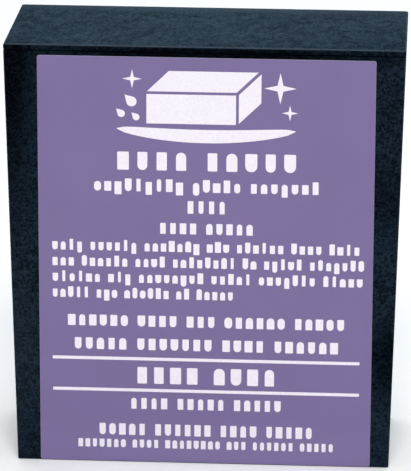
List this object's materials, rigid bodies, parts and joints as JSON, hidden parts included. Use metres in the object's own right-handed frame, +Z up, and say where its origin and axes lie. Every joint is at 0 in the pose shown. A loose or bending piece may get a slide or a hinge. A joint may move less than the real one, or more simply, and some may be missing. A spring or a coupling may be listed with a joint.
{
  "type": "detailing clay bar in storage case",
  "caption": "Upright tapered plastic case with a flush lift-off lid and a printed front label, holding one film-wrapped block of detailing clay.",
  "frame": {"origin": "on the surface that the case stands on, under the middle of the closed case", "axes": "+Z up the case towards its lid, -Y out of the labelled front wall, +X to the right as the label is read"},
  "size_m": [0.07, 0.0316, 0.0768],
  "materials": {
    "case_tub_plastic": "fine pebble grain",
    "case_lid_plastic": "fine pebble grain",
    "label_vinyl": "satin",
    "clay_putty": "matte",
    "clear_film": "gloss"
  },
  "bodies": {
    "tub": {"case_tub": "case_tub_plastic", "front_label": "label_vinyl"},
    "lid": {"case_lid": "case_lid_plastic"},
    "wrapped_clay": {"clay_bar": "clay_putty", "clay_wrap": "clear_film"}
  },
  "joints": [
    {"name": "lid_lift", "type": "slide", "parent": "tub", "child": "lid", "axis": [0, 0, 1], "range_m": [0, 0.06]},
    {"name": "clay_lift", "type": "slide", "parent": "tub", "child": "wrapped_clay", "axis": [0, 0, 1], "range_m": [0, 0.004]}
  ]
}
